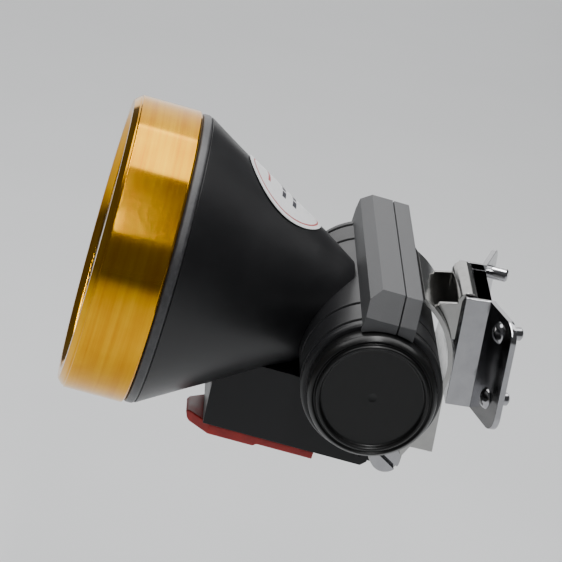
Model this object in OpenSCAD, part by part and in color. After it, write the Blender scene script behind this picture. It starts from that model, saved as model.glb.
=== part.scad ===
/* [Bezel and lens] */
// Outer diameter of the bezel ring
bezel_d = 66; // [56:0.5:80]
// Depth of the bezel ring, front to back
bezel_depth = 15; // [12.5:0.5:18]
// Radial wall of the bezel ring
bezel_wall = 2.5; // [2:0.1:3]
// Depth of the bezel's front lip over the lens
bezel_lip = 1.8; // [1.4:0.1:2.6]
// Thickness of the lens
lens_t = 2; // [1.5:0.1:3]

/* [Housing] */
// Distance from the bezel's rear edge to the drum axis
head_reach = 48.1; // [42:0.1:58]
// Height of the optical axis above the drum axis
optic_rise = 4.4; // [2:0.2:6]
// Nose-up angle of the head at rest
head_up = 7; // [0:1:12]
// Wall of the moulded shells
wall = 2; // [1.6:0.1:2.4]
// Radius of the cone where it meets the drum
neck_r = 15.2; // [13:0.1:18]
// Radius of the ribbed drum
drum_r = 15; // [14.5:0.1:18]
// Length of the ribbed drum, between the end caps
drum_len = 66; // [60:1:80]
// Width of the box under the cone
box_w = 24; // [20:1:28]
// Depth of the box bottom below the optical axis
box_drop = 30.5; // [29:0.5:37]

/* [Power cell] */
// Diameter of the lithium cell
cell_d = 18.5; // [16:0.1:19]
// Length of the lithium cell
cell_len = 65; // [50:1:66]

/* [Switch paddle] */
// Width of the red paddle
paddle_w = 18; // [14:1:22]
// Length of the red paddle
paddle_len = 29.4; // [25:0.2:36]
// Travel of the paddle's front edge clear of the box
paddle_gap = 1.1; // [0.9:0.1:1.4]

/* [Hinge base] */
// Width across the base plate's two ears
base_w = 30; // [26:1:36]
// Thickness of the base plate and the hook
base_t = 1; // [0.8:0.1:1.2]
// Distance of the pivot behind the drum axis, on the head
pivot_back = 10.1; // [9:0.1:12]
// Distance of the pivot below the drum axis, on the head
pivot_drop = 20.7; // [19:0.1:22.5]
// Diameter of the pivot screw
pivot_d = 4; // [3:0.5:4]
// Width of the hook
hook_w = 20.8; // [16:0.2:21]
// Length of the tongue behind the bracket's web
tongue_len = 24; // [16:1:27]

/* [Cap bracket] */
// Height of the bracket
bracket_h = 25; // [20:1:30]
// Width across the bracket's flanges
bracket_w = 52; // [48:1:62]
// Inside width of the bracket's channel
channel_w = 22; // [22:0.5:26]
// Thickness of the bracket's steel
bracket_t = 1.2; // [0.8:0.1:1.5]
// Distance from the seat line to the front of the web
channel_depth = 8.5; // [8:0.1:10.2]
// Sideways spacing of the rivets
rivet_span = 38; // [36:0.5:42]
// Upright spacing of the rivets
rivet_rise = 15.3; // [12:0.1:18]
// Diameter of the rivets' free shanks
rivet_d = 3; // [2.5:0.1:3.5]

/* [Hidden] */
$fn = 96;
fit = 0.05;
seam_gap = 0.1;

// The cradle plate's back stands clear of the bracket's web, and the drum clear of the cradle.
plate_r = drum_r + 3.2;
plate_inner_r = plate_r - base_t;
drum_gap = channel_depth + plate_r + 0.5;
drum_drop = 4.25;

// Optical parts, measured back from the bezel's rear edge.
bezel_r = bezel_d / 2;
bezel_bore_r = bezel_r - bezel_wall;
aperture_r = bezel_bore_r - 2.4;
seal_depth = 2.4;
gasket_t = 1.2;
rim_t = 1;
lens_z = -bezel_depth + bezel_lip;
gasket_z = lens_z + lens_t;
rim_z = gasket_z + gasket_t;
collar_z = rim_z + rim_t;
collar_r = bezel_bore_r - seam_gap;
collar_bore_r = collar_r - wall;
cone_r0 = bezel_r - 0.6;
neck_z = head_reach - drum_r;
slope = (cone_r0 - neck_r) / (neck_z - seal_depth);
slant_wall = wall * sqrt(1 + slope * slope);
cell_bore_r = cell_d / 2 + 0.35;
bay_r = drum_r - wall - 0.7;
cavity_end = head_reach - bay_r - wall;
function cone_r(z) = cone_r0 - slope * (z - seal_depth);
function cavity_r(z) = cone_r(z) - slant_wall;

// Reflector bowl: a paraboloid of a set depth, cut off at its base hole.
bowl_len = 28.9;
bowl_wall = 1;
bowl_r = collar_bore_r - 1.6;
bowl_hole_r = 5;
focal = (bowl_r * bowl_r - bowl_hole_r * bowl_hole_r) / (4 * bowl_len);
function bowl_depth(r) = (r * r - bowl_hole_r * bowl_hole_r) / (4 * focal);
bowl_base = rim_z + bowl_depth(bowl_r);
sink_z = bowl_base + 0.2;
sink_t = 5;
sink_r = cavity_r(sink_z + sink_t) - 0.4;
post_r = bowl_hole_r - 0.6;
board_t = 1;
board_z = bowl_base - 4;
driver_z = sink_z + sink_t + 2;
driver_t = 1.2;
driver_r = cavity_r(driver_z + driver_t) - 0.4;
lead_r = 0.6;
lead_x = 3;

// Drum and end caps.
seam_y = 1;
half_drum = drum_len / 2;
cap_r = drum_r - 1.3;
cap_depth = 4.8;
cap_ring_h = 0.5;
cap_ring_w = 0.7;
cap_chamfer = 0.8;
cap_ring_r = cap_r - 1.8;
spigot_r = cap_r - 1.6;
spigot_len = 3.5;
cap_inner_x = half_drum + 3;
seal_groove = 0.8;
seal_groove_w = 1.3;
seal_groove_x = half_drum - spigot_len + 1;
ring_r = (seal_groove + fit) / 2 - 0.01;
groove_x = [20.5, 30.2];
groove_w = 0.9;
groove_deep = 0.7;

// Bar along the top of the drum.
bar_front = -6.2;
bar_back = 4.8;
bar_chamfer = 2.2;
bar_top = drum_r + 6.5;
bar_shoulder = drum_r + 1;
bar_half = half_drum - 2;
bar_foot = half_drum + 2;
screw_x = 24;
screw_z = drum_r + 3;
screw_r = 1;
screw_head_r = 2;
screw_head_t = 1.6;

// Box under the cone.
box_front = -head_reach + 17.3;
box_back = 7.3;
box_bottom = optic_rise - box_drop;
box_top = -cell_bore_r;
box_half = box_w / 2;
box_floor = box_bottom + wall;
box_room_top = -drum_r + 0.4;
contact_y = [-3.5, -9.5];
contact_z = box_bottom + 4.7;
contact_r = 1.2;

// Paddle, hinged on a pin near its rear end.
paddle_front = box_front - 2.7;
paddle_back = paddle_front + paddle_len;
paddle_top = box_bottom - paddle_gap;
paddle_t = 2.4;
paddle_bottom = paddle_top - paddle_t;
paddle_pin_y = paddle_back - 3.9;
paddle_pin_z = box_bottom - 1.85;
paddle_pin_r = 0.6;
paddle_lug_half = 2;
post_y = box_front + 9.6;
button_post_r = 1.5;
switch_h = 3.5;
button_h = 1;
button_z = box_floor + 0.8;
press_gap = 0.6;

// Hinge base.
arc_top = 58;
arc_low = -15;
web_y = plate_r * cos(arc_low);
web_low = -19.6;
ear_out = base_w / 2;
ear_in = ear_out - base_t;
ear_r = 3.7;
washer_t = 0.8;
lug_half = ear_in - washer_t - 0.3;
lug_r = 3.4;
bush_r = pivot_d / 2 + 0.9;
bush_len = 6;
pivot_r = pivot_d / 2;

// Hook over the bracket's web.
web_front = -channel_depth;
web_top = bracket_h / 2 - 2.15;
bracket_low = -bracket_h / 2 - 0.75;
bracket_top = bracket_h / 2 - 0.75;
hook_gap = 0.4;
hook_inner_r = 1.35;
roll_y = web_front - hook_gap + hook_inner_r;
roll_z = web_top - 0.4;
roll_r = hook_inner_r + base_t;
strap_y = roll_y - roll_r;
hook_half = hook_w / 2;
tongue_half = hook_half - 0.6;

// Bracket flanges lean back to follow the cap's front.
flange_angle = 15.4;
channel_half = channel_w / 2;
flange_root = channel_half + bracket_t;
flange_half = bracket_w / 2;
rivet_x = rivet_span / 2;
rivet_r = rivet_d / 2;
shoulder_r = rivet_r + 0.25;
rivet_free = 4;
function flange_y(x) = (x - rivet_x) * tan(flange_angle);

// ---- placing and drawing helpers ----

// Drum frame: origin on the drum axis, +Y back, +Z up, upright with the bracket.
module drum_frame() {
  translate([0, -drum_gap, -drum_drop]) children();
}

// Head frame: the drum frame turned nose up.
module head_frame() {
  drum_frame() rotate([-head_up, 0, 0]) children();
}

// Optic frame: +Z runs back along the optical axis from the bezel's rear edge.
module optic_frame() {
  head_frame() translate([0, -head_reach, optic_rise]) rotate([-90, 0, 0]) children();
}

// Pivot frame: the head frame moved to the hinge pivot.
module pivot_frame() {
  head_frame() translate([0, pivot_back, -pivot_drop]) children();
}

// A cylinder along X from x0 to x1.
module x_cylinder(r, x0, x1) {
  translate([x0, 0, 0]) rotate([0, 90, 0]) cylinder(r = r, h = x1 - x0);
}

// An outline in the Y-Z plane, extruded to both sides of X = 0.
module x_prism(half) {
  translate([-half, 0, 0]) rotate([90, 0, 90]) linear_extrude(2 * half) children();
}

module both_sides() {
  children();
  mirror([1, 0, 0]) children();
}

// A ring about Z between two radii and two heights.
module ring(r_out, r_in, z0, z1) {
  rotate_extrude() translate([r_in, z0]) square([r_out - r_in, z1 - z0]);
}

// ---- cap bracket ----

// Plan outline of the bracket: web, side walls and flanges, drawn as one strip.
module bracket_plan() {
  lean = bracket_t / cos(flange_angle);
  root_y = flange_y(flange_root);
  tip_y = flange_y(flange_half);
  half = [
    [channel_half, web_front + bracket_t], [channel_half, root_y - bracket_t * tan(flange_angle)],
    [flange_root, root_y], [flange_half, tip_y], [flange_half, tip_y - lean],
    [flange_root, root_y - lean], [flange_root, web_front]
  ];
  polygon(concat(half, [for (k = [len(half) - 1:-1:0]) [-half[k][0], half[k][1]]]));
}

// Front outline: the web stops lower than the flanges, whose corners are round.
module bracket_front() {
  corner = 4;
  difference() {
    union() {
      translate([-flange_half, bracket_low + corner]) square([bracket_w, bracket_h - 2 * corner]);
      translate([-flange_half + corner, bracket_low]) square([bracket_w - 2 * corner, bracket_h]);
      both_sides() for (z = [bracket_low + corner, bracket_top - corner])
        translate([flange_half - corner, z]) circle(corner);
    }
    translate([-channel_half - 0.2, web_top]) square([channel_w + 0.4, bracket_h]);
  }
}

module rivet_places() {
  both_sides() for (z = [-1, 1] * rivet_rise / 2)
    translate([rivet_x, 0, z]) rotate([0, 0, flange_angle]) rotate([-90, 0, 0]) children();
}

module cap_bracket() {
  color("silver") difference() {
    intersection() {
      translate([0, 0, bracket_low]) linear_extrude(bracket_h) bracket_plan();
      translate([0, 10, 0]) rotate([90, 0, 0]) linear_extrude(40) bracket_front();
    }
    rivet_places() translate([0, 0, -bracket_t - 1]) cylinder(r = shoulder_r + fit, h = bracket_t + 2);
  }
}

module bracket_rivets() {
  head_r = 2.4;
  head_h = 1.3;
  color("gainsboro") rivet_places() rotate_extrude() {
    intersection() {
      translate([0, -bracket_t - head_h + 2.87]) circle(2.87);
      translate([0, -bracket_t - head_h]) square([head_r, head_h]);
    }
    translate([0, -bracket_t]) square([shoulder_r, bracket_t]);
    polygon([
      [0, 0], [rivet_r, 0], [rivet_r, rivet_free - 0.4], [rivet_r - 0.4, rivet_free], [0, rivet_free]
    ]);
  }
}

// ---- hinge base ----

// The sector of a ring about the drum axis, in the Y-Z plane.
module cradle_outline() {
  reach = 2 * plate_r;
  intersection() {
    difference() {
      circle(plate_r);
      circle(plate_inner_r);
    }
    polygon([[0, 0], reach * [cos(arc_top), sin(arc_top)], [reach, 0], reach * [cos(arc_low), sin(arc_low)]]);
  }
  translate([web_y - base_t, web_low]) square([base_t, plate_r * sin(arc_low) + 1 - web_low]);
}

// Where the pivot falls in the drum frame.
pivot_y = pivot_back * cos(head_up) - pivot_drop * sin(head_up);
pivot_z = -pivot_back * sin(head_up) - pivot_drop * cos(head_up);

module ear_outline() {
  translate([pivot_y, pivot_z]) circle(ear_r);
  polygon([
    [web_y, -8], [web_y, web_low], [web_y - 5, web_low + 0.4],
    [pivot_y + 1.6, pivot_z - 3.3], [pivot_y - 2.4, pivot_z + 2.8], [web_y - 5.5, -15.5]
  ]);
}

module base_plate() {
  color("lightgray") difference() {
    drum_frame() {
      x_prism(ear_out) cradle_outline();
      both_sides() translate([ear_in + base_t / 2, 0, 0]) x_prism(base_t / 2) ear_outline();
    }
    pivot_frame() x_cylinder(pivot_r + fit, -ear_out - 1, ear_out + 1);
  }
}

// Side outline of the hook: strap, rolled top and tongue, as a strip of one thickness.
module hook_outline() {
  tip_z = roll_z - tongue_len;
  strap_low = -drum_drop + 5.4;
  difference() {
    translate([roll_y, roll_z]) circle(roll_r, $fn = 64);
    translate([roll_y, roll_z]) circle(hook_inner_r, $fn = 64);
    translate([roll_y - 2 * roll_r, roll_z - 4 * roll_r]) square(4 * roll_r);
  }
  translate([strap_y, strap_low]) square([base_t, roll_z - strap_low]);
  translate([roll_y + hook_inner_r, tip_z]) square([base_t, roll_z - tip_z]);
}

// Gusset: fills the corner between the strap and the top of the cradle.
module gusset_outline() {
  difference() {
    polygon([
      [strap_y + base_t, -drum_drop + 5.4], [strap_y + base_t, roll_z - 0.3],
      [-drum_gap + 13.4, -drum_drop + 13.3], [-drum_gap + 10, -drum_drop + 5.4]
    ]);
    translate([-drum_gap, -drum_drop]) circle(plate_r);
  }
}

module hook_tongue() {
  color("silver") difference() {
    union() {
      x_prism(hook_half) hook_outline();
      both_sides() translate([hook_half - base_t / 2, 0, 0]) x_prism(base_t / 2) gusset_outline();
    }
    drum_frame() x_cylinder(plate_r, -base_w, base_w);
    both_sides() translate([tongue_half, roll_y + hook_inner_r / 2, roll_z - tongue_len - 1])
      cube([2, 2 * roll_r, tongue_len]);
  }
}

module pivot_screw() {
  head_h = 2.2;
  head_r = 3.3;
  color("gainsboro") difference() {
    pivot_frame() {
      x_cylinder(pivot_r, -ear_out - 4.2, ear_out);
      x_cylinder(head_r, ear_out, ear_out + head_h);
    }
    pivot_frame() translate([ear_out + head_h - 0.5, 0, 0]) rotate([60, 0, 0])
      cube([2, 0.9, 2.6 * head_r], center = true);
  }
}

module pivot_nut() {
  color("silver") pivot_frame() difference() {
    translate([-ear_out - 3.2, 0, 0]) rotate([0, 90, 0]) cylinder(r = 3.5, h = 3.2, $fn = 6);
    x_cylinder(pivot_r + fit, -ear_out - 4, -ear_out + 1);
  }
}

module hinge_washers() {
  color("dimgray") pivot_frame() both_sides() difference() {
    x_cylinder(lug_r, ear_in - washer_t, ear_in);
    x_cylinder(pivot_r + fit, ear_in - washer_t - 1, ear_in + 1);
  }
}

// ---- lamp head shells ----

module cone_outer() {
  rotate_extrude() polygon([
    [0, collar_z], [collar_r, collar_z], [collar_r, seal_depth], [cone_r0, seal_depth],
    [neck_r, neck_z], [neck_r - 5, head_reach - 7], [0, head_reach - 7]
  ]);
}

module cone_cavity() {
  rotate_extrude() polygon([
    [0, collar_z - 1], [collar_bore_r, collar_z - 1],
    [collar_bore_r, seal_depth], [cavity_r(seal_depth + 1), seal_depth + 1],
    [cavity_r(cavity_end), cavity_end], [0, cavity_end]
  ]);
}

// The ribbed drum as one solid, before it is split at the seam.
module drum_solid() {
  difference() {
    x_cylinder(drum_r, -half_drum, half_drum);
    both_sides() for (x = groove_x) difference() {
      x_cylinder(drum_r + 1, x - groove_w / 2, x + groove_w / 2);
      x_cylinder(drum_r - groove_deep, x - groove_w, x + groove_w);
    }
  }
}

// The bar over the drum, between two planes across it.
module bar_solid(y0, y1) {
  difference() {
    translate([0, y1, 0]) rotate([90, 0, 0]) linear_extrude(y1 - y0) polygon([
      [-bar_foot, drum_r - 3.4], [-bar_foot, bar_shoulder], [-bar_half, bar_top],
      [bar_half, bar_top], [bar_foot, bar_shoulder], [bar_foot, drum_r - 3.4]
    ]);
    both_sides() x_cylinder(cap_r + 0.2, half_drum, bar_foot + 1);
    translate([0, bar_front, bar_top]) rotate([45, 0, 0])
      cube([2 * bar_foot, bar_chamfer, bar_chamfer] * sqrt(2), center = true);
  }
}

// Everything hollow inside the drum: the cell's bore, the bays between the rings that
// hold the cell, and the end caps' seats.
module drum_bores() {
  bay_end = half_drum - spigot_len - 3;
  ring_at = bay_end / 2;
  x_cylinder(cell_bore_r, -half_drum - 1, half_drum + 1);
  both_sides() x_cylinder(bay_r, ring_at + 1, bay_end);
  x_cylinder(bay_r, 1 - ring_at, ring_at - 1);
  both_sides() x_cylinder(spigot_r + fit, half_drum - spigot_len - seam_gap, half_drum + 1);
}

module screw_bores(r) {
  both_sides() translate([screw_x, -5, screw_z]) rotate([-90, 0, 0]) cylinder(r = r, h = 12);
}

module box_solid() {
  x_prism(box_half) polygon([
    [box_front + 0.8, box_bottom], [box_front, box_top - 4], [box_front + 6, box_top],
    [box_back, box_top], [box_back, box_bottom + 1], [box_back - 1, box_bottom]
  ]);
}

module hinge_lug() {
  translate([0, pivot_back, -pivot_drop]) x_cylinder(lug_r, -lug_half, lug_half);
  translate([-lug_half, box_back - 2, -pivot_drop - lug_r])
    cube([2 * lug_half, pivot_back - box_back + 2, 2 * lug_r]);
}

module front_housing() {
  color([0.09, 0.09, 0.1]) difference() {
    union() {
      optic_frame() cone_outer();
      head_frame() {
        intersection() {
          drum_solid();
          translate([-drum_len, seam_y - 60, -60]) cube([2 * drum_len, 60, 120]);
        }
        bar_solid(bar_front, seam_y);
        box_solid();
        hinge_lug();
        translate([-paddle_lug_half, paddle_pin_y - 1.5, paddle_pin_z - 1.15])
          cube([2 * paddle_lug_half, 3, box_bottom - paddle_pin_z + 1.2]);
      }
    }
    optic_frame() cone_cavity();
    head_frame() {
      drum_bores();
      screw_bores(screw_r);
      translate([-box_half + wall, box_front + wall + 0.8, box_floor])
        cube([box_w - 2 * wall, box_back - box_front - 3 * wall - 1, box_room_top - box_floor]);
      translate([0, post_y, box_bottom - 1]) cylinder(r = button_post_r + 0.4, h = wall + 2);
      translate([0, paddle_pin_y, paddle_pin_z]) x_cylinder(paddle_pin_r, -box_half, box_half);
      for (y = contact_y) translate([0, y, contact_z]) x_cylinder(contact_r, -box_half - 1, -5);
    }
    pivot_frame() {
      x_cylinder(pivot_r + 0.4, -ear_out, ear_out);
      both_sides() x_cylinder(bush_r, lug_half - bush_len, ear_out);
    }
  }
}

module rear_cover() {
  color([0.1, 0.1, 0.11]) head_frame() difference() {
    union() {
      intersection() {
        drum_solid();
        translate([-drum_len, seam_y, -60]) cube([2 * drum_len, 60, 120]);
      }
      bar_solid(seam_y, bar_back);
    }
    drum_bores();
    screw_bores(screw_r + 0.2);
    both_sides() translate([screw_x, bar_back - screw_head_t, screw_z]) rotate([-90, 0, 0])
      cylinder(r = screw_head_r + 0.1, h = 5);
    translate([-box_half - seam_gap, 0, box_bottom])
      cube([box_w + 2 * seam_gap, box_back + seam_gap, box_top - box_bottom]);
  }
}

module housing_screws() {
  color("dimgray") head_frame() both_sides() translate([screw_x, bar_back, screw_z]) rotate([90, 0, 0]) {
    cylinder(r = screw_r, h = bar_back + 4);
    difference() {
      cylinder(r = screw_head_r, h = screw_head_t);
      translate([0, 0, -1]) cylinder(r = 0.9, h = 1.7, $fn = 6);
    }
  }
}

// ---- bezel, lens and light engine ----

module bezel() {
  lip_r = bezel_r - 1.4;
  color("goldenrod") optic_frame() rotate_extrude() polygon([
    [bezel_bore_r, 0], [bezel_bore_r, lens_z], [aperture_r, lens_z], [aperture_r, lens_z - 0.5],
    [aperture_r + 1.2, -bezel_depth], [lip_r, -bezel_depth],
    [bezel_r, -bezel_depth + 1.6], [bezel_r, -0.4], [bezel_r - 0.4, 0]
  ]);
}

module bezel_seal() {
  color([0.16, 0.16, 0.17]) optic_frame() rotate_extrude() polygon([
    [collar_r + fit, 0], [cone_r0 - 0.4, 0], [cone_r0 + 0.2, 0.5],
    [cone_r0 + 0.2, seal_depth - 0.5], [cone_r0 - 0.3, seal_depth - fit],
    [collar_r + fit, seal_depth - fit]
  ]);
}

module lens() {
  color([0.85, 0.92, 0.95, 0.4]) optic_frame() translate([0, 0, lens_z])
    cylinder(r = bezel_bore_r - seam_gap, h = lens_t);
}

module lens_gasket() {
  color([0.2, 0.2, 0.2]) optic_frame() ring(bezel_bore_r - seam_gap, collar_bore_r, gasket_z, rim_z);
}

module reflector() {
  steps = 14;
  function bowl(k) = bowl_hole_r + (bowl_r - bowl_hole_r) * k / steps;
  inner = [for (k = [0:steps]) [bowl(k), bowl_base - bowl_depth(bowl(k))]];
  outer = [for (k = [steps:-1:0]) [bowl(k) + bowl_wall, bowl_base - bowl_depth(bowl(k))]];
  color("whitesmoke") optic_frame() {
    rotate_extrude() polygon(concat(inner, outer));
    ring(bezel_bore_r - seam_gap, bowl_r, rim_z, collar_z);
  }
}

module led_board() {
  color("white") optic_frame() translate([0, 0, board_z - board_t]) cylinder(r = post_r, h = board_t);
}

module led_emitter() {
  die = 3.5;
  die_t = 0.8;
  color("khaki") optic_frame() {
    translate([-die / 2, -die / 2, board_z - board_t - die_t]) cube([die, die, die_t]);
    translate([0, 0, board_z - board_t - die_t]) intersection() {
      sphere(1.5, $fn = 48);
      translate([-2, -2, -3]) cube([4, 4, 3.1]);
    }
  }
}

module heat_sink() {
  color("darkgray") optic_frame() difference() {
    union() {
      translate([0, 0, board_z]) cylinder(r = post_r, h = sink_z - board_z + 1);
      translate([0, 0, sink_z]) cylinder(r1 = sink_r + slope * sink_t, r2 = sink_r, h = sink_t);
    }
    for (x = [-lead_x, lead_x]) translate([x, 0, board_z - 1]) cylinder(r = lead_r + 0.15, h = driver_z);
  }
}

module led_leads() {
  color("firebrick") optic_frame() for (x = [-lead_x, lead_x])
    translate([x, 0, board_z]) cylinder(r = lead_r, h = driver_z - board_z);
}

module driver_board() {
  color("darkgreen") optic_frame() translate([0, 0, driver_z]) cylinder(r = driver_r, h = driver_t);
  color("black") optic_frame() translate([-2.5, -6, driver_z + driver_t]) cube([5, 4, 1.6]);
  color("gray") optic_frame() translate([-3, 1, driver_z + driver_t]) cylinder(r = 2.4, h = 2.6);
}

// ---- switch in the box ----

module switch_board() {
  board_z0 = button_z + button_h + switch_h;
  color("darkgreen") head_frame() translate([-box_half + wall, post_y - 6, board_z0])
    cube([box_w - 2 * wall, 12, 1.2]);
}

module tact_switch() {
  side = 6;
  color("dimgray") head_frame() {
    translate([-side / 2, post_y - side / 2, button_z + button_h]) cube([side, side, switch_h]);
    translate([0, post_y, button_z]) cylinder(r = 1.7, h = button_h);
  }
}

module charge_contacts() {
  color("gold") head_frame() for (y = contact_y) translate([0, y, contact_z])
    x_cylinder(contact_r, -box_half - 0.2, 1 + wall - box_half);
}

module paddle_pin() {
  color("silver") head_frame() translate([0, paddle_pin_y, paddle_pin_z])
    x_cylinder(paddle_pin_r, -paddle_w / 2 + 1, paddle_w / 2 - 1);
}

module switch_paddle() {
  half = paddle_w / 2;
  nose_half = half - 5.5;
  nose_y = paddle_front + 4;
  step_y = paddle_front + 16;
  rear_bottom = paddle_bottom + 0.6;
  color("firebrick") head_frame() difference() {
    union() {
      intersection() {
        x_prism(half) polygon([
          [paddle_front + 0.6, paddle_bottom + 0.4], [paddle_front + 1.2, paddle_bottom],
          [step_y, paddle_bottom], [step_y + 0.6, rear_bottom], [paddle_back, rear_bottom],
          [paddle_back, paddle_top], [paddle_front + 0.6, paddle_top], [paddle_front, paddle_top - 0.6]
        ]);
        translate([0, 0, paddle_bottom - 1]) linear_extrude(paddle_t + 2) polygon([
          [-half, paddle_back], [half, paddle_back], [half, nose_y], [nose_half, paddle_front],
          [-nose_half, paddle_front], [-half, nose_y]
        ]);
      }
      translate([0, post_y, paddle_top - 0.5])
        cylinder(r = button_post_r, h = button_z - press_gap - paddle_top + 0.5);
    }
    translate([0, paddle_pin_y, paddle_pin_z]) x_cylinder(paddle_pin_r + fit, -half - 1, half + 1);
    translate([-paddle_lug_half - 0.3, paddle_pin_y - 2.1, paddle_bottom - 1])
      cube([2 * paddle_lug_half + 0.6, 4.2, paddle_t + 3]);
  }
}

// ---- power cell and end caps ----

module battery_cell() {
  color("steelblue") head_frame() {
    x_cylinder(cell_d / 2, -cell_len / 2, cell_len / 2);
    x_cylinder(3, cell_len / 2, cell_len / 2 + 1);
  }
}

// A closed round wire along a helix, with flat ends.
module wire_helix(r, wire, height, turns) {
  rings = turns * 14;
  sides = 8;
  spots = [for (k = [0:rings], j = [0:sides - 1])
    let (a = 360 * turns * k / rings, b = 360 * j / sides, q = r + wire * cos(b))
    [q * cos(a), q * sin(a), height * k / rings + wire * sin(b)]];
  sleeve = [for (k = [0:rings - 1], j = [0:sides - 1])
    let (n = (j + 1) % sides, a = k * sides, b = a + sides) [a + j, b + j, b + n, a + n]];
  first = [for (j = [0:sides - 1]) j];
  last = [for (j = [sides - 1:-1:0]) rings * sides + j];
  polyhedron(spots, concat([first], sleeve, [last]));
}

module contact_spring() {
  wire = 0.4;
  color("silver") head_frame() translate([-cell_len / 2 - wire, 0, 0]) rotate([0, -90, 0])
    wire_helix(4.5, wire, cap_inner_x - cell_len / 2 - 2 * wire, 3);
}

module contact_plate() {
  plate_t = 0.8;
  color("gold") head_frame() {
    x_cylinder(7, cap_inner_x - plate_t, cap_inner_x);
    x_cylinder(2.5, cell_len / 2 + 1, cap_inner_x - plate_t);
  }
}

// End cap on the +X side: a flanged cup with a spigot, a seal groove and a raised ring.
module end_cap() {
  face_x = half_drum + cap_depth;
  difference() {
    union() {
      x_cylinder(cap_r, half_drum, face_x - cap_chamfer);
      translate([face_x - cap_chamfer, 0, 0]) rotate([0, 90, 0])
        cylinder(r1 = cap_r, r2 = cap_r - cap_chamfer, h = cap_chamfer);
      x_cylinder(spigot_r, half_drum - spigot_len, half_drum);
      x_cylinder(cap_ring_r, face_x, face_x + cap_ring_h);
    }
    x_cylinder(cell_bore_r, half_drum - spigot_len - 1, cap_inner_x);
    x_cylinder(cap_ring_r - cap_ring_w, face_x - 0.1, face_x + 2);
    difference() {
      x_cylinder(spigot_r + 1, seal_groove_x, seal_groove_x + seal_groove_w);
      x_cylinder(spigot_r - seal_groove, half_drum - spigot_len, half_drum);
    }
  }
}

module end_cap_left() {
  color([0.07, 0.07, 0.08]) head_frame() end_cap();
}

module end_cap_right() {
  color([0.07, 0.07, 0.08]) head_frame() mirror([1, 0, 0]) end_cap();
}

module cap_seals() {
  color([0.25, 0.1, 0.1]) head_frame() both_sides()
    translate([seal_groove_x + seal_groove_w / 2, 0, 0]) rotate([0, 90, 0])
    rotate_extrude() translate([spigot_r - seal_groove + ring_r, 0]) circle(ring_r, $fn = 24);
}

// ---- trim ----

// A round label that follows the upper rear of the cone.
module label() {
  label_r = 11;
  label_t = 0.15;
  label_z = 21.8;
  label_turn = -6;
  color("white") optic_frame() intersection() {
    rotate_extrude($fn = 96) polygon([
      [cone_r(8), 8], [cone_r(8) + label_t, 8],
      [cone_r(neck_z) + label_t, neck_z], [cone_r(neck_z), neck_z]
    ]);
    rotate([0, 0, label_turn]) translate([0, -cone_r(label_z), label_z]) rotate([90 - atan(slope), 0, 0])
      translate([0, 0, -8]) cylinder(r = label_r, h = 14);
  }
}

module hinge_bushes() {
  color("peru") pivot_frame() both_sides() difference() {
    x_cylinder(bush_r, lug_half - bush_len, lug_half);
    x_cylinder(pivot_r + fit, lug_half - bush_len - 1, lug_half + 1);
  }
}

cap_bracket();
bracket_rivets();
base_plate();
hook_tongue();
pivot_screw();
pivot_nut();
hinge_washers();
front_housing();
rear_cover();
bezel();
bezel_seal();
lens();
lens_gasket();
reflector();
led_board();
led_emitter();
heat_sink();
driver_board();
led_leads();
switch_board();
tact_switch();
charge_contacts();
battery_cell();
contact_spring();
contact_plate();
end_cap_left();
end_cap_right();
cap_seals();
housing_screws();
label();
hinge_bushes();
paddle_pin();
switch_paddle();
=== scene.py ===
"""Miner's cap lamp: the finished surfaces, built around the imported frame."""
import math

import bpy
from mathutils import Matrix, Vector


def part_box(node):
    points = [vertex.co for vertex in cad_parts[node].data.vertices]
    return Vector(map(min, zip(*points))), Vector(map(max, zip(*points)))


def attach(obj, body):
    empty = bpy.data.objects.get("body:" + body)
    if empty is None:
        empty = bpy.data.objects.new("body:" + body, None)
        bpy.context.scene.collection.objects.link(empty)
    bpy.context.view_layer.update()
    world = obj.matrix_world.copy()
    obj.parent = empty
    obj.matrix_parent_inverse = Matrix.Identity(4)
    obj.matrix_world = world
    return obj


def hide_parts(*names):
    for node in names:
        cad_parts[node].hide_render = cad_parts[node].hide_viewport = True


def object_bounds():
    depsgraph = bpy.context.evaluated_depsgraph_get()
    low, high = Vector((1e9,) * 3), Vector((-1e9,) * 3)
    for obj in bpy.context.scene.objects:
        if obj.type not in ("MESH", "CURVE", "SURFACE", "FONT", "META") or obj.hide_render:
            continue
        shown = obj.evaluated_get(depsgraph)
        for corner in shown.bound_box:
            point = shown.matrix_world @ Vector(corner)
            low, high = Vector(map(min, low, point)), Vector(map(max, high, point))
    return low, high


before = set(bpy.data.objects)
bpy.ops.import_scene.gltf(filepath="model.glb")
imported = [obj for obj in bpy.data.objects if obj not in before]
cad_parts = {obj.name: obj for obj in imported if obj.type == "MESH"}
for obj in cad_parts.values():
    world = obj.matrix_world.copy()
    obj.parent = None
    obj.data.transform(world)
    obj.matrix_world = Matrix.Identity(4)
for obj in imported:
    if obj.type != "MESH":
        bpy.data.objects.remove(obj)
cad_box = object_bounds()

# ---------------------------------------------------------------- sizes, in millimetres
MM = 0.001
SMOOTH_UP_TO = 38  # edges below this angle, in degrees, are shaded smooth
HEAD_UP = math.radians(7)
LENS_MIDDLE = 12.2  # from the lens's middle back to the bezel's rear edge

BEZEL_R = 33
BEZEL_DEPTH = 15
BEZEL_BORE_R = 30.5
APERTURE_R = 28.1
COLLAR_R = 30.4
COLLAR_BORE_R = 28.4
COLLAR_FRONT = -9
SEAL_DEPTH = 2.4
CONE_R = 32.4
NECK_R = 15.2
NECK_Z = 33.1
CONE_END_R = 10.2
CONE_END_Z = 41.1

DRUM_R = 15
DRUM_BORE_R = 12.2
HALF_DRUM = 33
PAST_DRUM = 40  # half length of a cutter that runs right through the drum
GROOVES = (20.5, 30.2)
CAP_R = 13.7
CAP_DEPTH = 4.8
SEAM_Y = 1
SEAM = 0.13

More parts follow.
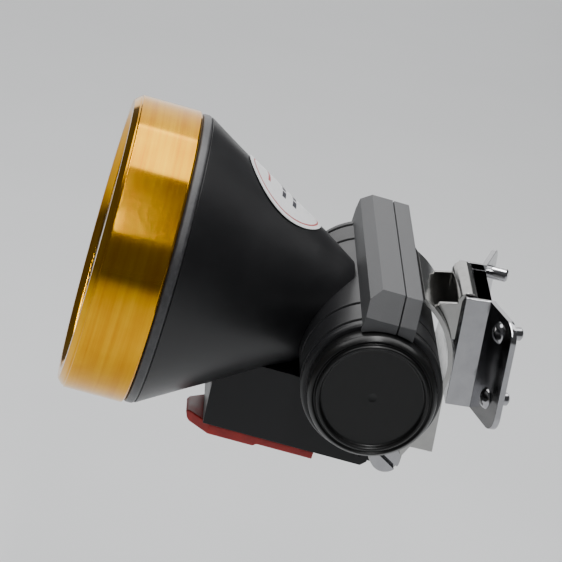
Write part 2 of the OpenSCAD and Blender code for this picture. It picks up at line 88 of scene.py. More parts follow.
BAR_FRONT = -6.2
BAR_BACK = 4.8
BAR_TOP = 21.5
BAR_SHOULDER = 16
BAR_HALF = 31
BAR_FOOT = 35

BOX_FRONT = -30.8
BOX_BACK = 7.3
BOX_BOTTOM = -26.1
BOX_TOP = -9.6
BOX_HALF = 12
PADDLE_FRONT = -33.5
PADDLE_BACK = -4.1
PADDLE_HALF = 9
PADDLE_TOP = -27.2
PADDLE_BOTTOM = -29.6
PIVOT = (10.1, -20.7)  # y and z


def middle(node):
    low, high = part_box(node)
    return (Vector(low) + Vector(high)) / 2


# Head frame: origin on the drum's axis, +Y back, +Z up, turned nose up with the head.
HEAD = Matrix.Translation(middle("battery_cell") * Vector((0, 1, 1))) @ Matrix.Rotation(-HEAD_UP, 4, "X")
# Optic frame: +Z runs back along the optical axis from the bezel's rear edge.
lens_middle = HEAD.inverted() @ middle("lens")
bezel_back = lens_middle + Vector((0, LENS_MIDDLE * MM, 0))
OPTIC_TURN = Matrix.Rotation(math.radians(-90), 4, "X")
OPTIC = HEAD @ Matrix.Translation(bezel_back) @ OPTIC_TURN
WORLD = Matrix.Identity(4)


# ---------------------------------------------------------------- modelling helpers
def start(name, at):
    """A new object in edit mode, holding one selected vertex."""
    bpy.ops.object.select_all(action="DESELECT")
    bpy.ops.mesh.primitive_plane_add(size=1)
    bpy.context.object.name = name
    bpy.ops.object.mode_set(mode="EDIT")
    bpy.ops.mesh.merge(type="CENTER")
    bpy.ops.transform.translate(value=at)
    return bpy.context.object


def draw(points):
    """Extrude the selected vertex from point to point, and back to the first one."""
    for here, there in zip(points, points[1:] + points[:1]):
        step = Vector(there) - Vector(here)
        bpy.ops.mesh.extrude_region_move(TRANSFORM_OT_translate={"value": step})
    clean()


def clean():
    bpy.ops.mesh.select_all(action="SELECT")
    bpy.ops.mesh.remove_doubles(threshold=0.0005)
    bpy.ops.mesh.dissolve_degenerate(threshold=0.0001)
    bpy.ops.mesh.normals_make_consistent(inside=False)


def turned(name, outline, steps=128):
    """A closed outline of (radius, height), spun about Z."""
    points = [(r, 0, z) for r, z in outline]
    piece = start(name, points[0])
    draw(points)
    bpy.ops.mesh.select_all(action="SELECT")
    bpy.ops.mesh.spin(steps=steps, angle=2 * math.pi, center=(0, 0, 0), axis=(0, 0, 1))
    clean()
    bpy.ops.object.mode_set(mode="OBJECT")
    return piece


def prism(name, points, along):
    """A closed outline of points, filled and extruded."""
    piece = start(name, points[0])
    draw([tuple(p) for p in points])
    bpy.ops.mesh.select_all(action="SELECT")
    bpy.ops.mesh.edge_face_add()
    bpy.ops.mesh.extrude_region_move(TRANSFORM_OT_translate={"value": along})
    clean()
    bpy.ops.object.mode_set(mode="OBJECT")
    return piece


def across(name, outline, half):
    """An outline of (y, z), extruded to both sides of X = 0."""
    return prism(name, [(-half, y, z) for y, z in outline], (2 * half, 0, 0))


def rod(name, r, x0, x1, at=(0, 0), steps=64):
    """A cylinder along X, centred at a (y, z)."""
    bpy.ops.object.select_all(action="DESELECT")
    bpy.ops.mesh.primitive_cylinder_add(vertices=steps, radius=r, depth=x1 - x0,
                                        location=((x0 + x1) / 2, *at), rotation=(0, math.pi / 2, 0))
    bpy.context.object.name = name
    settle(WORLD)
    return bpy.context.object


def pick(piece):
    bpy.ops.object.select_all(action="DESELECT")
    piece.select_set(True)
    bpy.context.view_layer.objects.active = piece


def settle(place):
    """Put the active object's place, turn and scale into its mesh."""
    piece = bpy.context.object
    piece.matrix_world = place @ piece.matrix_world
    bpy.ops.object.transform_apply(location=True, rotation=True, scale=True)


def apply_modifier(piece, kind, **settings):
    pick(piece)
    modifier = piece.modifiers.new(kind.title(), kind)
    for key, value in settings.items():
        setattr(modifier, key, value)
    bpy.ops.object.modifier_apply(modifier=modifier.name)


def cut(piece, tool, operation="DIFFERENCE"):
    """Take one object out of another, or join the two into one shell."""
    apply_modifier(piece, "BOOLEAN", object=tool, operation=operation, solver="EXACT")
    bpy.data.objects.remove(tool, do_unlink=True)
    return piece


def trim(piece, at, normal):
    """Cut a piece off along a plane, on the normal's side, and close it."""
    pick(piece)
    bpy.ops.object.mode_set(mode="EDIT")
    bpy.ops.mesh.select_all(action="SELECT")
    bpy.ops.mesh.bisect(plane_co=at, plane_no=normal, use_fill=True, clear_outer=True)
    clean()
    bpy.ops.object.mode_set(mode="OBJECT")
    return piece


def round_edges(piece, width, segments=3, angle=32):
    apply_modifier(piece, "BEVEL", width=width, segments=segments, limit_method="ANGLE",
                   angle_limit=math.radians(angle), use_clamp_overlap=True, miter_outer="MITER_ARC")


def finish(piece, place, body, material, replaces):
    """Smooth a piece, scale it to metres, place it, and hand it to the frame."""
    pick(piece)
    settle(place @ Matrix.Scale(MM, 4))
    bpy.ops.object.shade_smooth_by_angle(angle=math.radians(SMOOTH_UP_TO))
    apply_modifier(piece, "WEIGHTED_NORMAL", keep_sharp=True)
    piece.data.materials.clear()
    piece.data.materials.append(material)
    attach(piece, body)
    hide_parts(*replaces)


def softened(node, name, width, body, material):
    """A pressed or turned part with its edges broken: a merged copy of the node, bevelled."""
    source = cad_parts[node]
    piece = source.copy()
    piece.data = source.data.copy()
    piece.name = name
    bpy.context.collection.objects.link(piece)
    pick(piece)
    settle(Matrix.Scale(1 / MM, 4))
    bpy.ops.object.mode_set(mode="EDIT")
    clean()
    bpy.ops.mesh.dissolve_limited(angle_limit=math.radians(1))
    bpy.ops.object.mode_set(mode="OBJECT")
    round_edges(piece, width, segments=2, angle=30)
    finish(piece, WORLD, body, material, [node])


# ---------------------------------------------------------------- shader helpers
class Field:
    """A socket that takes part in plain arithmetic."""

    def __init__(self, paint, socket):
        self.paint = paint
        self.socket = socket

    def math(self, operation, *others):
        inputs = {k: v for k, v in enumerate((self, *others))}
        return self.paint.node("ShaderNodeMath", {"operation": operation}, inputs)

    def __add__(self, other):
        return self.math("ADD", other)

    def __sub__(self, other):
        return self.math("SUBTRACT", other)

    def __rsub__(self, other):
        return self.paint.node("ShaderNodeMath", {"operation": "SUBTRACT"}, {0: other, 1: self})

    def __mul__(self, other):
        return self.math("MULTIPLY", other)

    def __pow__(self, other):
        return self.math("POWER", other)

    def __lt__(self, other):
        return self.math("LESS_THAN", other)

    def __gt__(self, other):
        return self.math("GREATER_THAN", other)

    def __abs__(self):
        return self.math("ABSOLUTE")

    __radd__ = __add__
    __rmul__ = __mul__


class Paint:
    """One material: a Principled shader, its constants, and the nodes that vary it."""

    def __init__(self, name, color, **constants):
        self.material = bpy.data.materials.new(name)
        self.material.use_nodes = True
        self.tree = self.material.node_tree
        self.shader = self.tree.nodes["Principled BSDF"]
        self.shader.inputs["Base Color"].default_value = (*color, 1)
        for key, value in constants.items():
            self.shader.inputs[key.replace("_", " ").title().replace("Ior", "IOR")].default_value = value

    def node(self, kind, settings, inputs, output=0):
        made = self.tree.nodes.new(kind)
        for key, value in settings.items():
            if key == "stops":
                ramp = made.color_ramp
                for spot, (at, level) in enumerate(value):
                    stop = ramp.elements[spot] if spot < 2 else ramp.elements.new(at)
                    stop.position = at
                    stop.color = (level, level, level, 1)
            else:
                setattr(made, key, value)
        for key, value in inputs.items():
            if isinstance(value, Field):
                self.tree.links.new(value.socket, made.inputs[key])
            else:
                made.inputs[key].default_value = value
        return Field(self, made.outputs[output])

    def coords(self, place=WORLD, stretch=(1, 1, 1)):
        """Millimetres in one of the lamp's own frames."""
        raw = self.node("ShaderNodeTexCoord", {}, {}, "Object")
        spot, turn, _ = place.decompose()
        return self.node("ShaderNodeMapping", {"vector_type": "TEXTURE"}, {
            "Vector": raw, "Location": spot, "Rotation": turn.to_euler(),
            "Scale": [MM / s for s in stretch]})

    def parts(self, vector):
        return [self.node("ShaderNodeSeparateXYZ", {}, {0: vector}, k) for k in range(3)]

    def noise(self, vector, scale, detail=3.0, roughness=0.55):
        return self.node("ShaderNodeTexNoise", {}, {
            "Vector": vector, "Scale": scale, "Detail": detail, "Roughness": roughness})

    def ramp(self, value, *stops):
        return self.node("ShaderNodeValToRGB", {"stops": stops}, {0: value})

    def mix(self, factor, first, second):
        """Two colours, mixed by a factor."""
        inputs = {0: factor}
        for key, value in ((6, first), (7, second)):
            inputs[key] = value if isinstance(value, Field) else (*value, 1)
        return self.node("ShaderNodeMix", {"data_type": "RGBA"}, inputs, 2)

    def set(self, socket, value):
        self.tree.links.new(value.socket, self.shader.inputs[socket])

    def bump(self, height, depth, strength=1.0):
        """Height, from 0 to 1, raised by a depth in millimetres."""
        self.set("Normal", self.node("ShaderNodeBump", {}, {
            "Height": height, "Distance": depth * MM, "Strength": strength}))


def radius(x, y):
    return (x * x + y * y) ** 0.5


# ---------------------------------------------------------------- materials
def anodised_gold():
    """Orange-gold anodising over fine turning lines."""
    paint = Paint("anodised_gold", (1.0, 0.55, 0.015), metallic=1.0, roughness=0.16)
    lines = paint.noise(paint.coords(OPTIC, (0.04, 0.04, 1)), 7.0, 4.0, 0.7)
    broad = paint.noise(paint.coords(OPTIC, (0.02, 0.02, 1)), 0.9, 2.0)
    blotch = paint.noise(paint.coords(), 0.12, 2.0)
    shade = paint.ramp(broad * 0.6 + blotch * 0.4, (0.3, 0), (0.7, 1))
    paint.set("Base Color", paint.mix(shade, (0.66, 0.27, 0.002), (0.88, 0.46, 0.005)))
    paint.set("Roughness", 0.07 + 0.1 * lines)
    paint.bump(lines, 0.008, 0.25)
    return paint.material


def moulded_black(name, rough, grain, grain_size, color, gloss=0.4):
    """Black moulded plastic, with a fine spark-eroded grain and faint handling marks."""
    paint = Paint(name, color, roughness=rough, specular_ior_level=gloss)
    at = paint.coords()
    texture = paint.noise(at, grain_size, 2.0, 0.6)
    marks = paint.ramp(paint.noise(at, 0.1, 4.0, 0.6), (0.42, 0), (0.75, 1))
    lighter = [c * 1.35 + 0.002 for c in color]
    paint.set("Base Color", paint.mix(marks * 0.6, color, lighter))
    paint.set("Roughness", rough - 0.04 + 0.07 * marks + 0.05 * texture)
    paint.bump(texture, grain, 0.6)
    return paint.material


def seal_rubber():
    paint = Paint("seal_rubber", (0.045, 0.045, 0.048), roughness=0.42)
    dust = paint.ramp(paint.noise(paint.coords(), 0.6, 4.0, 0.7), (0.4, 0), (0.8, 1))
    paint.set("Base Color", paint.mix(dust, (0.04, 0.04, 0.043), (0.08, 0.08, 0.083)))
    paint.set("Roughness", 0.36 + 0.16 * dust)
    paint.bump(paint.noise(paint.coords(), 3.0), 0.03, 0.4)
    return paint.material


def bright_steel(name, color, rough, stretch):
    """Plated or polished pressed steel, with faint drawing lines and smears."""
    paint = Paint(name, color, metallic=1.0, roughness=rough)
    smear = paint.ramp(paint.noise(paint.coords(), 0.35, 4.0, 0.65), (0.35, 0), (0.75, 1))
    lines = paint.noise(paint.coords(WORLD, stretch), 5.0, 3.0, 0.6)
    darker = [c * 0.82 for c in color]
    paint.set("Base Color", paint.mix(smear * 0.7, color, darker))
    paint.set("Roughness", rough + 0.08 * smear + 0.05 * lines)
    paint.bump(lines, 0.012, 0.3)
    return paint.material


def red_plastic():
    paint = Paint("red_plastic", (0.42, 0.018, 0.014), roughness=0.4)
    at = paint.coords()
    cloud = paint.ramp(paint.noise(at, 0.3, 3.0), (0.35, 0), (0.7, 1))
    grain = paint.noise(at, 5.0, 2.0)
    paint.set("Base Color", paint.mix(cloud, (0.36, 0.012, 0.01), (0.5, 0.026, 0.02)))
    paint.set("Roughness", 0.34 + 0.12 * cloud)
    paint.bump(grain, 0.02, 0.5)
    return paint.material


def printed_label():
    """White film with a thin rim line and plain bars of print."""
    paint = Paint("printed_label", (0.82, 0.82, 0.82), roughness=0.32)
    cone_slope = 0.51
    place = Matrix.Translation(middle("label")) @ Matrix.Rotation(-HEAD_UP - cone_slope, 4, "X")
    x, y = paint.parts(paint.coords(place))[:2]
    r = radius(x, y)
    rim = (r > 9.6) * (r < 10.0)
    bars = (abs(abs(y - 1.0) - 1.6) < 0.55) * (abs(x) < 5.2) * (abs(abs(x) - 1.6) > 0.35)
    line = (abs(y + 5.2) < 0.35) * (abs(x) < 4.0)
    grime = paint.ramp(paint.noise(paint.coords(), 0.5, 4.0), (0.45, 0), (0.8, 1))
    sheet = paint.mix(grime * 0.5, (0.84, 0.84, 0.85), (0.7, 0.7, 0.7))
    ink = paint.mix(bars, sheet, (0.06, 0.06, 0.07))
    red = paint.mix(rim + line, ink, (0.5, 0.12, 0.12))
    paint.set("Base Color", red)
    paint.set("Roughness", 0.3 + 0.15 * grime)
    return paint.material


def clear_lens():
    paint = Paint("clear_lens", (0.97, 0.99, 1.0), roughness=0.02, ior=1.49, transmission_weight=1.0)
    haze = paint.ramp(paint.noise(paint.coords(), 0.3, 4.0), (0.45, 0), (0.8, 1))
    paint.set("Roughness", 0.015 + 0.03 * haze)
    return paint.material


def mirror_bowl():
    """Vacuum-metallised bowl with a fine orange-peel texture."""
    paint = Paint("mirror_bowl", (0.9, 0.9, 0.92), metallic=1.0, roughness=0.07)
    peel = paint.noise(paint.coords(OPTIC), 0.9, 1.5, 0.4)
    paint.set("Roughness", 0.05 + 0.06 * peel)
    paint.bump(peel, 0.06, 0.5)
    return paint.material


def plain(name, color, rough, metallic=0.0):
    """A small inner part: its colour and gloss vary a little over the surface."""
    paint = Paint(name, color, roughness=rough, metallic=metallic)
    cloud = paint.ramp(paint.noise(paint.coords(), 1.2, 3.0), (0.35, 0), (0.7, 1))
    paint.set("Base Color", paint.mix(cloud, color, [c * 0.75 for c in color]))
    paint.set("Roughness", rough + 0.1 * cloud)
    paint.bump(cloud, 0.02, 0.3)
    return paint.material


def led_phosphor():
    paint = Paint("led_phosphor", (0.9, 0.72, 0.12), roughness=0.2, coat_weight=1.0)
    grain = paint.noise(paint.coords(), 12.0, 2.0)
    paint.set("Base Color", paint.mix(grain, (0.85, 0.62, 0.08), (0.95, 0.82, 0.2)))
    return paint.material


gold = anodised_gold()
cone_black = moulded_black("cone_black", 0.37, 0.006, 3.0, (0.008, 0.008, 0.009), 0.45)
drum_black = moulded_black("drum_black", 0.36, 0.012, 4.0, (0.01, 0.01, 0.011), 0.5)
# The top bar is the same black moulding as the cone, drum and box. Its much lighter grey base colour is
# painted sheen of the overhead light on its top.
bar_grey_painted_sheen = moulded_black("bar_grey_painted_sheen", 0.48, 0.03, 3.6, (0.062, 0.063, 0.066), 0.6)
box_black = moulded_black("box_black", 0.4, 0.012, 3.6, (0.004, 0.004, 0.005))
cap_black = moulded_black("cap_black", 0.3, 0.008, 3.0, (0.004, 0.004, 0.004))
rubber = seal_rubber()
# Both steels have base colours darker than bright plated or polished steel. Part of this is the metal's own
# grey; the rest is painted shade standing in for the dark surroundings seen in their reflections.
chrome = bright_steel("chromed_steel", (0.42, 0.42, 0.435), 0.06, (1, 1, 0.05))
steel = bright_steel("polished_steel", (0.42, 0.417, 0.405), 0.1, (0.05, 1, 1))
red = red_plastic()
label_film = printed_label()
lens_clear = clear_lens()
bowl = mirror_bowl()
phosphor = led_phosphor()


# ---------------------------------------------------------------- bezel, seal and light engine
def bezel_ring():
    """Turned ring: flat band, front chamfer with a fine step, seat for the lens and a flared mouth."""
    front, lens_seat = -BEZEL_DEPTH, -13.2
    step, rear_chamfer, chamfer = 0.35, 0.45, 1.5
    ring = turned("bezel_ring", [
        (BEZEL_BORE_R, 0), (BEZEL_BORE_R, lens_seat), (APERTURE_R, lens_seat), (APERTURE_R, -13.7),
        (APERTURE_R + 0.9, -14.6), (APERTURE_R + chamfer, front),
        (BEZEL_R - chamfer, front), (BEZEL_R - step, front + 1.15),
        (BEZEL_R - step, front + 1.45), (BEZEL_R, front + 1.6),
        (BEZEL_R, -rear_chamfer), (BEZEL_R - rear_chamfer, 0)], steps=192)
    round_edges(ring, 0.12, 2, 20)
    finish(ring, OPTIC, "head", gold, ["bezel"])


def seal_ring():
    ring = turned("bezel_seal_ring", [
        (COLLAR_R, 0), (CONE_R - 0.45, 0), (CONE_R + 0.2, 0.4), (CONE_R + 0.2, SEAL_DEPTH - 0.5),
        (CONE_R - 0.3, SEAL_DEPTH), (COLLAR_R, SEAL_DEPTH)], steps=192)
    round_edges(ring, 0.25, 3, 25)
    finish(ring, OPTIC, "head", rubber, ["bezel_seal"])


def front_lens():
    """Flat lens with ground edges and a shallow dome in front."""
    dome_r, front, sag, edge_r, back = 29.0, -14.0, 0.8, 30.4, -11.2
    dome = [(dome_r * k / 8, front + sag * (k / 8) ** 2) for k in range(9)]
    lens = turned("front_lens", [
        *dome, (edge_r, -12.8), (edge_r, -11.5), (30.1, back), (0, back)], steps=160)
    finish(lens, OPTIC, "head", lens_clear, ["lens"])


def reflector_bowl():
    """Paraboloid bowl with a flat mounting rim, as one spun shell."""
    focal, hole_r, mouth_r, shell = 6.0, 5.0, 26.8, 1.0
    rim = -10
    base = rim + (mouth_r ** 2 - hole_r ** 2) / (4 * focal)
    radii = [hole_r + (mouth_r - hole_r) * k / 28 for k in range(29)]
    inner = [(r, base - (r ** 2 - hole_r ** 2) / (4 * focal)) for r in radii]
    outer = [(r + shell, z) for r, z in reversed(inner[:-1])]
    bowl_shell = turned("reflector_bowl", [
        *inner, (COLLAR_R, rim), (COLLAR_R, COLLAR_FRONT), (27.9, COLLAR_FRONT), *outer])
    finish(bowl_shell, OPTIC, "head", bowl, ["reflector"])


def led_dome():
    """Square package with a moulded dome."""
    base_z, dome_r, side, height = 13.9, 1.5, 3.5, 0.8
    angles = [k * math.pi / 24 for k in range(13)]
    dome = [(dome_r * math.sin(a), base_z - dome_r * math.cos(a)) for a in angles]
    piece = turned("led_dome", [*dome, (1.6, base_z + 0.1), (0, base_z + 0.1)], 48)
    bpy.ops.object.select_all(action="DESELECT")
    bpy.ops.mesh.primitive_cube_add(size=1, location=(0, 0, base_z + height / 2),
                                    scale=(side, side, height))
    package = bpy.context.object
    settle(WORLD)
    round_edges(package, 0.15, 2)
    cut(piece, package, "UNION")
    finish(piece, OPTIC, "head", phosphor, ["led_emitter"])


# ---------------------------------------------------------------- housing shells
def cone_radius(z):
    """The cone's outer radius, a little hollow between its mouth and its neck."""
    share = (z - SEAL_DEPTH) / (NECK_Z - SEAL_DEPTH)
    return CONE_R + (NECK_R - CONE_R) * share - 0.35 * math.sin(math.pi * share)


def cone_shell():
    wall, inner_end = 2.3, 33.8
    spots = [SEAL_DEPTH + (NECK_Z - SEAL_DEPTH) * k / 14 for k in range(15)]
    outer = [(cone_radius(z), z) for z in spots]
    inner = [(cone_radius(z) - wall, z) for z in reversed(spots[1:])]
    shell = turned("cone_shell", [
        (COLLAR_BORE_R, COLLAR_FRONT), (COLLAR_R, COLLAR_FRONT), (COLLAR_R, SEAL_DEPTH), *outer,
        (CONE_END_R, CONE_END_Z), (0, CONE_END_Z), (0, inner_end), *inner, (COLLAR_BORE_R, SEAL_DEPTH)], 160)
    round_edges(shell, 0.3, 3, 40)
    pick(shell)
    settle(Matrix.Translation(bezel_back / MM) @ OPTIC_TURN)
    cut(shell, rod("bore", DRUM_BORE_R + 0.2, -PAST_DRUM, PAST_DRUM, steps=96))
    finish(shell, HEAD, "head", cone_black, ["front_housing"])


def drum_sleeve(name, grooves):
    """The ribbed sleeve, spun about its own axis, with a groove at each place on both sides."""
    lip, half_width, depth = 0.5, 0.42, 0.95
    outer = [(DRUM_R - lip, -HALF_DRUM), (DRUM_R, -HALF_DRUM + lip)]
    for x in sorted([-g for g in grooves] + list(grooves)):
        outer += [(DRUM_R, x - half_width - 0.25), (DRUM_R - depth, x - half_width),
                  (DRUM_R - depth, x + half_width), (DRUM_R, x + half_width + 0.25)]
    outer += [(DRUM_R, HALF_DRUM - lip), (DRUM_R - lip, HALF_DRUM)]
    sleeve = turned(name, [(DRUM_BORE_R, -HALF_DRUM), *outer, (DRUM_BORE_R, HALF_DRUM)], 144)
    round_edges(sleeve, 0.14, 2, 20)
    pick(sleeve)
    settle(Matrix.Rotation(math.radians(90), 4, "Y"))
    return sleeve


def drum_front():
    sleeve = trim(drum_sleeve("drum_front", GROOVES), (0, SEAM_Y - SEAM, 0), (0, 1, 0))
    finish(sleeve, HEAD, "head", drum_black, ["front_housing"])


def drum_rear():
    sleeve = trim(drum_sleeve("drum_rear", GROOVES), (0, SEAM_Y + SEAM, 0), (0, -1, 0))
    gap, front, low = 0.1, -1, -20
    back = BOX_BACK + gap
    block = across("box_room", [(front, BOX_TOP), (front, low), (back, low), (back, BOX_TOP)],
                   BOX_HALF + gap)
    cut(sleeve, block)
    finish(sleeve, HEAD, "head", drum_black, ["rear_cover"])


def bar_piece(name, y0, y1):
    """One half of the bar: a bridge with sloped ends, relieved over the end caps."""
    foot_z = 12.6
    outline = [(-BAR_FOOT, foot_z), (-BAR_FOOT, BAR_SHOULDER), (-BAR_HALF, BAR_TOP),
               (BAR_HALF, BAR_TOP), (BAR_FOOT, BAR_SHOULDER), (BAR_FOOT, foot_z)]
    bar = prism(name, [(x, y0, z) for x, z in outline], (0, y1 - y0, 0))
    for side in (-1, 1):
        ends = sorted((side * (HALF_DRUM + 0.05), side * (BAR_FOOT + 2)))
        cut(bar, rod("cap_room", CAP_R + 0.25, *ends, steps=96))
    cut(bar, rod("drum_room", DRUM_BORE_R + 0.6, -PAST_DRUM, PAST_DRUM, steps=96))
    return bar


def bar_front():
    bar = bar_piece("bar_front", BAR_FRONT, SEAM_Y - SEAM)
    edge = 2.2
    chamfer = across("chamfer", [
        (BAR_FRONT - 1, BAR_TOP - edge), (BAR_FRONT, BAR_TOP - edge), (BAR_FRONT + edge, BAR_TOP),
        (BAR_FRONT + edge, BAR_TOP + 1), (BAR_FRONT - 1, BAR_TOP + 1)], BAR_FOOT + 2)
    cut(bar, chamfer)
    round_edges(bar, 0.35, 3)
    finish(bar, HEAD, "head", bar_grey_painted_sheen, ["front_housing"])


def bar_rear():
    screw_x, screw_r = 24, 2.1
    bar = bar_piece("bar_rear", SEAM_Y + SEAM, BAR_BACK)
    for side in (-1, 1):
        bpy.ops.object.select_all(action="DESELECT")
        bpy.ops.mesh.primitive_cylinder_add(vertices=48, radius=screw_r, depth=4,
                                            rotation=(math.pi / 2, 0, 0),
                                            location=(side * screw_x, BAR_BACK + 0.4, DRUM_R + 3))
        tool = bpy.context.object
        settle(WORLD)
        cut(bar, tool)
    round_edges(bar, 0.3, 3)
    finish(bar, HEAD, "head", bar_grey_painted_sheen, ["rear_cover"])


def box_shell():
    """The box under the cone, as a solid block, drafted in front, with its contact seats."""
    box = across("box_shell", [
        (BOX_FRONT + 0.9, BOX_BOTTOM), (BOX_FRONT, -13.5), (BOX_FRONT + 6, BOX_TOP),
        (BOX_BACK, BOX_TOP), (BOX_BACK, BOX_BOTTOM + 1.2), (BOX_BACK - 1.2, BOX_BOTTOM)], BOX_HALF)
    cut(box, rod("bore", DRUM_BORE_R + 0.3, -PAST_DRUM, PAST_DRUM, steps=96))
    seat_r, seat_depth, seat_z = 1.45, 0.35, BOX_BOTTOM + 4.7
    for y in (-3.5, -9.5):
        cut(box, rod("contact_seat", seat_r, -BOX_HALF - 2, seat_depth - BOX_HALF, (y, seat_z), 40))
    round_edges(box, 0.7, 4)
    finish(box, HEAD, "head", box_black, ["front_housing"])


def hinge_block():
    y, z = PIVOT
    reach, knuckle_r, bush_r = 12.9, 3.4, 2.95
    block = across("hinge_block", [
        (BOX_BACK - 2, z - knuckle_r), (y, z - knuckle_r), (y, z + knuckle_r),
        (BOX_BACK - 2, z + knuckle_r)], reach)
    cut(block, rod("knuckle", knuckle_r, -reach, reach, PIVOT), "UNION")
    cut(block, rod("bush_room", bush_r, -20, 20, PIVOT))
    round_edges(block, 0.25, 3)
    finish(block, HEAD, "head", box_black, ["front_housing"])


def paddle_lug():
    front, back, root, low, corner = -9.5, -6.5, BOX_BOTTOM + 0.3, -29.1, 0.5
    lug = across("paddle_lug", [
        (front, root), (front, low + corner), (front + corner, low), (back - corner, low),
        (back, low + corner), (back, root)], 2)
    round_edges(lug, 0.2, 2)
    finish(lug, HEAD, "head", box_black, ["front_housing"])


def end_cap(name, node, side):
    """Turned end cap: rounded shoulder, shallow trough and a raised bead round a flat disc."""
    face = HALF_DRUM + CAP_DEPTH
    spigot_end, spigot_r, spigot_bore_r, inner_face = HALF_DRUM - 3.5, 12.1, 9.7, 36
    ring_r, bead_r, trough, pit = 11.45, 0.45, face - 0.45, face - 0.52
    bead = [(ring_r + bead_r * math.cos(a), face + 0.05 + bead_r * math.sin(a))
            for a in [math.pi * k / 10 for k in range(11)]]
    outline = [
        (spigot_bore_r, spigot_end), (spigot_r, spigot_end), (spigot_r, HALF_DRUM), (CAP_R, HALF_DRUM),
        (CAP_R, face - 1.6), (CAP_R - 0.25, face - 0.9), (CAP_R - 0.75, face - 0.35),
        (12.7, face - 0.15), (12.35, trough), (12.05, trough), *bead,
        (10.8, face - 0.35), (10.5, trough), (1.1, trough), (0.9, pit),
        (0, pit), (0, inner_face), (spigot_bore_r, inner_face)]
    cap = turned(name, outline, 144)
    round_edges(cap, 0.12, 2, 25)
    turn = Matrix.Rotation(math.radians(90 * side), 4, "Y")
    finish(cap, HEAD @ turn, "head", cap_black, [node])


# ---------------------------------------------------------------- switch paddle
def paddle():
    """Red rocker: thick tapered nose, thinner tail, slot for the lug. Its hidden post is left out."""
    step = PADDLE_FRONT + 16
    piece = across("paddle_rocker", [
        (PADDLE_FRONT + 0.6, PADDLE_BOTTOM + 0.4), (PADDLE_FRONT + 1.2, PADDLE_BOTTOM),
        (step, PADDLE_BOTTOM), (step + 0.6, PADDLE_BOTTOM + 0.6), (PADDLE_BACK, PADDLE_BOTTOM + 0.6),
        (PADDLE_BACK, PADDLE_TOP), (PADDLE_FRONT + 0.6, PADDLE_TOP),
        (PADDLE_FRONT, PADDLE_TOP - 0.6)], PADDLE_HALF)
    for side in (-1, 1):
        trim(piece, (side * (PADDLE_HALF - 5.5), PADDLE_FRONT, 0), (side * 4, -5.5, 0))
    front, back, low, high = -10.1, -5.9, -32, -24
    cut(piece, across("slot", [(front, low), (back, low), (back, high), (front, high)], 2.3))
    round_edges(piece, 0.3, 3)
    finish(piece, HEAD, "paddle", red, ["switch_paddle"])


bezel_ring()
seal_ring()
front_lens()
reflector_bowl()
led_dome()
cone_shell()
drum_front()
drum_rear()
bar_front()
bar_rear()
box_shell()
hinge_block()
paddle_lug()
end_cap("end_cap_disc_left", "end_cap_left", 1)
end_cap("end_cap_disc_right", "end_cap_right", -1)
paddle()
softened("cap_bracket", "bracket_pressing", 0.22, "bracket", chrome)
softened("bracket_rivets", "rivet_set", 0.12, "bracket", chrome)
softened("base_plate", "cradle_pressing", 0.18, "base", steel)
softened("hook_tongue", "hook_pressing", 0.18, "base", steel)
softened("pivot_screw", "pivot_screw_turned", 0.25, "base", chrome)
softened("pivot_nut", "pivot_nut_turned", 0.2, "base", chrome)

# ---------------------------------------------------------------- finishes on the nodes that stay
FINISHES = {
    "hinge_washers": plain("friction_disc", (0.16, 0.16, 0.16), 0.6),
    "lens_gasket": rubber,
    "led_board": plain("white_board", (0.8, 0.8, 0.78), 0.35),
    "heat_sink": plain("bare_aluminium", (0.68, 0.68, 0.7), 0.3, 1.0),
    "driver_board": plain("green_board", (0.02, 0.16, 0.05), 0.35),
    "led_leads": plain("red_lead", (0.5, 0.03, 0.02), 0.5),
    "tact_switch": plain("grey_plastic", (0.1, 0.1, 0.11), 0.5),
    "charge_contacts": plain("brass_contact", (0.8, 0.62, 0.3), 0.22, 1.0),
    "battery_cell": plain("cell_wrap", (0.05, 0.18, 0.42), 0.35),
    "contact_spring": steel,
    "cap_seals": rubber,
    "housing_screws": plain("black_screw", (0.04, 0.04, 0.042), 0.35, 0.8),
    "label": label_film,
    "paddle_pin": steel,
}
FINISHES["switch_board"] = FINISHES["driver_board"]
FINISHES["contact_plate"] = FINISHES["charge_contacts"]
FINISHES["hinge_bushes"] = FINISHES["charge_contacts"]


def dress(node, material):
    """Assign a material to every slot of a node's object."""
    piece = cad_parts[node]
    if not piece.material_slots:
        piece.data.materials.append(material)
    for place in piece.material_slots:
        place.material = material


for node, material in FINISHES.items():
    dress(node, material)


# ---------------------------------------------------------------- floor, light and camera
def floor_paint():
    paint = Paint("pale_floor", (0.74, 0.75, 0.76), roughness=0.6)
    cloud = paint.noise(paint.coords(), 0.01, 3.0)
    paint.set("Base Color", paint.mix(cloud, (0.71, 0.72, 0.73), (0.77, 0.78, 0.79)))
    return paint.material


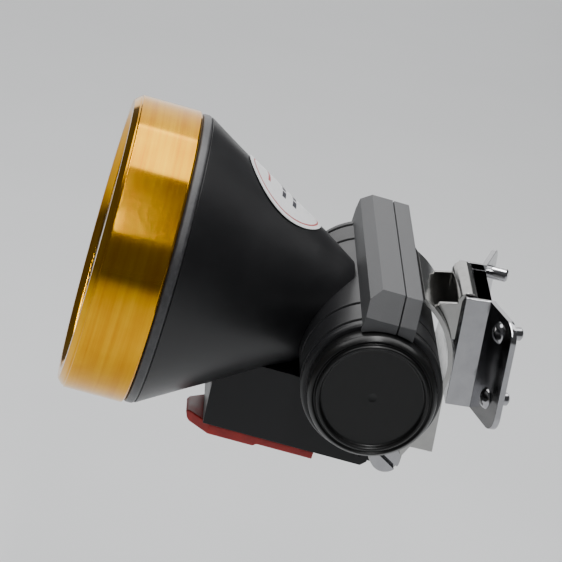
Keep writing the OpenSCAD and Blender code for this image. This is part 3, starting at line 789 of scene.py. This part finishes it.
def floor(drop):
    """A wide pale floor some way below the lamp, which hangs from its bracket."""
    bpy.ops.object.select_all(action="DESELECT")
    bpy.ops.mesh.primitive_grid_add(x_subdivisions=8, y_subdivisions=8, size=12,
                                    location=(0, 0, cad_box[0][2] - drop))
    bpy.context.object.name = "floor"
    bpy.context.object.data.materials.append(floor_paint())


def soft_light(name, at, aim, size, power):
    data = bpy.data.lights.new(name, "AREA")
    data.shape = "RECTANGLE"
    data.size, data.size_y = size
    data.energy = power
    lamp = bpy.data.objects.new(name, data)
    lamp.location = at
    lamp.rotation_euler = (Vector(aim) - Vector(at)).to_track_quat("-Z", "Y").to_euler()
    bpy.context.collection.objects.link(lamp)


def camera():
    """Looks from the wearer's left, a little above and ahead, leaning as the bracket does."""
    lean, azimuth, elevation = (math.radians(a) for a in (9.5, 86.2, 20))
    distance = 0.6
    way = Vector((math.sin(azimuth) * math.cos(elevation), -math.cos(azimuth) * math.cos(elevation),
                  math.sin(elevation)))
    up = Vector((0, -math.sin(lean), math.cos(lean)))
    target = Vector((0, -0.0478, 0.00465))
    back = way.normalized()
    right = up.cross(back).normalized()
    turn = Matrix((right, back.cross(right), back)).transposed().to_4x4()
    data = bpy.data.cameras.new("view")
    data.sensor_width = 36
    data.lens = 175
    data.clip_start = 0.02
    seen = bpy.data.objects.new("view", data)
    seen.matrix_world = Matrix.Translation(target + way * distance) @ turn
    bpy.context.collection.objects.link(seen)
    bpy.context.scene.camera = seen


def sky(color, strength):
    world = bpy.data.worlds.new("studio")
    world.use_nodes = True
    shade = world.node_tree.nodes["Background"]
    shade.inputs["Color"].default_value = (*color, 1)
    shade.inputs["Strength"].default_value = strength
    bpy.context.scene.world = world


floor(0.12)
sky((0.92, 0.94, 0.96), 0.11)
soft_light("overhead", (-0.14, -0.05, 0.6), (-0.14, -0.05, 0), (0.5, 1.3), 6)
soft_light("tube", (0.15, -0.05, 0.6), (0, -0.05, 0), (0.025, 1.3), 4)
soft_light("far_wall", (-1.1, -0.1, 0.5), (0, -0.05, 0.1), (0.8, 1.8), 6)
camera()
